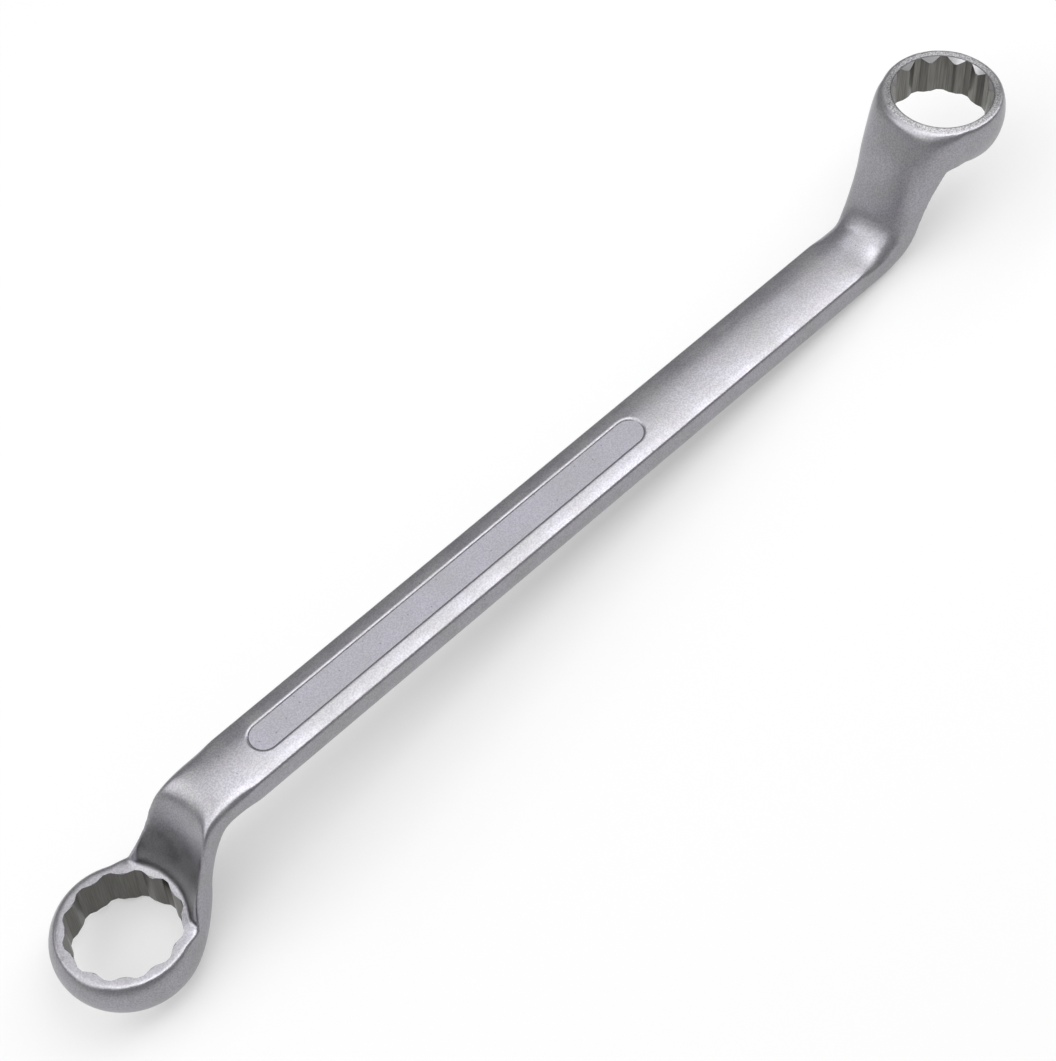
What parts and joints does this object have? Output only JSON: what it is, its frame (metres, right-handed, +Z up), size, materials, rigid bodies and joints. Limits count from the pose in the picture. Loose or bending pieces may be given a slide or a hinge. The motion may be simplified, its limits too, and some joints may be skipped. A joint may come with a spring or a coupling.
{
  "type": "ring spanner",
  "caption": "Double-ended ring spanner with deeply offset ring ends of different sizes and a flattened shank with sunk panels, for turning nuts and bolt heads.",
  "frame": {"origin": "middle of the length and width, on the surface that the spanner lies on", "axes": "+X along the shank from the large ring to the small ring, +Z up as the spanner lies on a bench with the large ring's working face down"},
  "size_m": [0.3336, 0.0384, 0.0405],
  "materials": {
    "satin_chrome": "satin"
  },
  "bodies": {
    "root": {"large_ring": "satin_chrome", "large_neck": "satin_chrome", "shank": "satin_chrome", "small_neck": "satin_chrome", "small_ring": "satin_chrome"}
  },
  "joints": []
}
